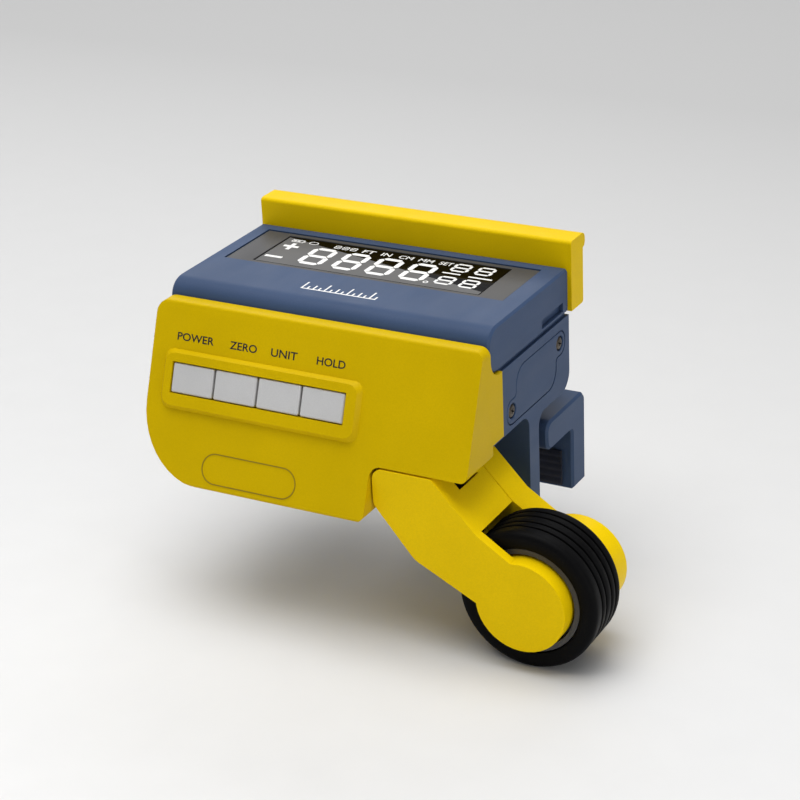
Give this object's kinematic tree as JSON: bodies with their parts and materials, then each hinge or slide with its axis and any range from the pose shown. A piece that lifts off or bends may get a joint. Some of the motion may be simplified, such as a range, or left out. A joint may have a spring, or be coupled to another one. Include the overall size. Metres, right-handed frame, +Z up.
{
  "type": "digital length counter",
  "caption": "Electronic length counter with a keypad, a display, a sprung rubber measuring wheel on a swing arm and a screw clamp for a machine's fence.",
  "frame": {"origin": "centre of the fence pad's outer face, where the counter rests against a fence", "axes": "+X to the right along the front, towards the wheel; +Y from front to back; +Z up"},
  "size_m": [0.1506, 0.1027, 0.1082],
  "materials": {
    "yellow_plastic": "moulded yellow ABS, fine satin texture",
    "blue_plastic": "moulded slate-blue ABS, fine satin texture",
    "grey_plastic": "light grey key caps",
    "dark_plastic": "dark grey moulded plastic",
    "black_display": "black display",
    "clear_window": "clear window",
    "tyre_rubber": "black rubber tread",
    "soft_rubber": "dark soft rubber",
    "green_board": "circuit board",
    "steel": "plain steel",
    "dark_steel": "blackened steel",
    "cell_wrap": "plain cell wrapper"
  },
  "bodies": {
    "housing": {"arm_pivot_pin": "steel", "arm_spring": "steel", "back_plate_screw_1": "dark_steel", "back_plate_screw_2": "dark_steel", "battery_1": "cell_wrap", "battery_2": "cell_wrap", "battery_contact": "steel", "battery_cover": "blue_plastic", "battery_cover_screw_1": "dark_steel", "battery_cover_screw_2": "dark_steel", "battery_tray": "dark_plastic", "board_screw_1": "dark_steel", "board_screw_2": "dark_steel", "board_screw_3": "dark_steel", "board_screw_4": "dark_steel", "bracket_screw_1": "dark_steel", "bracket_screw_2": "dark_steel", "case_screw_1": "dark_steel", "case_screw_2": "dark_steel", "case_screw_3": "dark_steel", "clamp_nut": "steel", "cover_back_plate": "yellow_plastic", "display_frame": "dark_plastic", "display_window": "clear_window", "fence_pad": "soft_rubber", "front_cover": "yellow_plastic", "guide_pin_1": "steel", "guide_pin_2": "steel", "keypad_board": "green_board", "keypad_mat": "soft_rubber", "lcd_panel": "black_display", "lower_housing": "blue_plastic", "main_board": "green_board", "pivot_bracket": "dark_steel", "rear_bar": "yellow_plastic", "rear_bar_screw_1": "dark_steel", "rear_bar_screw_2": "dark_steel", "upper_housing": "blue_plastic"},
    "swing_arm": {"arm_frame": "yellow_plastic", "arm_rear_cover": "yellow_plastic", "arm_screw_1": "dark_steel", "arm_screw_2": "dark_steel", "wheel_axle": "steel", "sensor_board": "green_board"},
    "wheel": {"wheel_hub": "dark_plastic", "tyre": "tyre_rubber", "bearing_front": "steel", "bearing_rear": "steel", "encoder_magnet": "dark_steel"},
    "clamp_jaw": {"clamp_jaw": "blue_plastic", "jaw_pad": "soft_rubber"},
    "clamp_screw": {"clamp_screw": "steel", "clamp_knob": "dark_plastic"},
    "button_1": {"button_1": "grey_plastic"},
    "button_2": {"button_2": "grey_plastic"},
    "button_3": {"button_3": "grey_plastic"},
    "button_4": {"button_4": "grey_plastic"}
  },
  "joints": [
    {"name": "arm_swing", "type": "hinge", "parent": "housing", "child": "swing_arm", "pos_m": [0.011, -0.0384, 0.015], "axis": [0, -1, 0], "range_deg": [0, 30], "stiffness_Nm_per_rad": 0.08, "springref_deg": -34.38},
    {"name": "wheel_spin", "type": "hinge", "parent": "swing_arm", "child": "wheel", "pos_m": [0.04015, -0.0384, -0.0143], "axis": [0, 1, 0], "continuous": true},
    {"name": "jaw_slide", "type": "slide", "parent": "housing", "child": "clamp_jaw", "axis": [0, 1, 0], "range_m": [-0.0055, 0.006]},
    {"name": "screw_turn", "type": "hinge", "parent": "clamp_jaw", "child": "clamp_screw", "pos_m": [0, 0.0316, 0.012], "axis": [0, 1, 0], "range_deg": [-1990, 2170]},
    {"name": "button_1_press", "type": "slide", "parent": "housing", "child": "button_1", "axis": [0, 0.936, -0.3519], "range_m": [0, 0.0008], "stiffness_N_per_m": 300},
    {"name": "button_2_press", "type": "slide", "parent": "housing", "child": "button_2", "axis": [0, 0.936, -0.3519], "range_m": [0, 0.0008], "stiffness_N_per_m": 300},
    {"name": "button_3_press", "type": "slide", "parent": "housing", "child": "button_3", "axis": [0, 0.936, -0.3519], "range_m": [0, 0.0008], "stiffness_N_per_m": 300},
    {"name": "button_4_press", "type": "slide", "parent": "housing", "child": "button_4", "axis": [0, 0.936, -0.3519], "range_m": [0, 0.0008], "stiffness_N_per_m": 300}
  ],
  "couplings": [
    {"joint": "screw_turn", "follows": "jaw_slide", "rad_per_m": 6283.2}
  ]
}
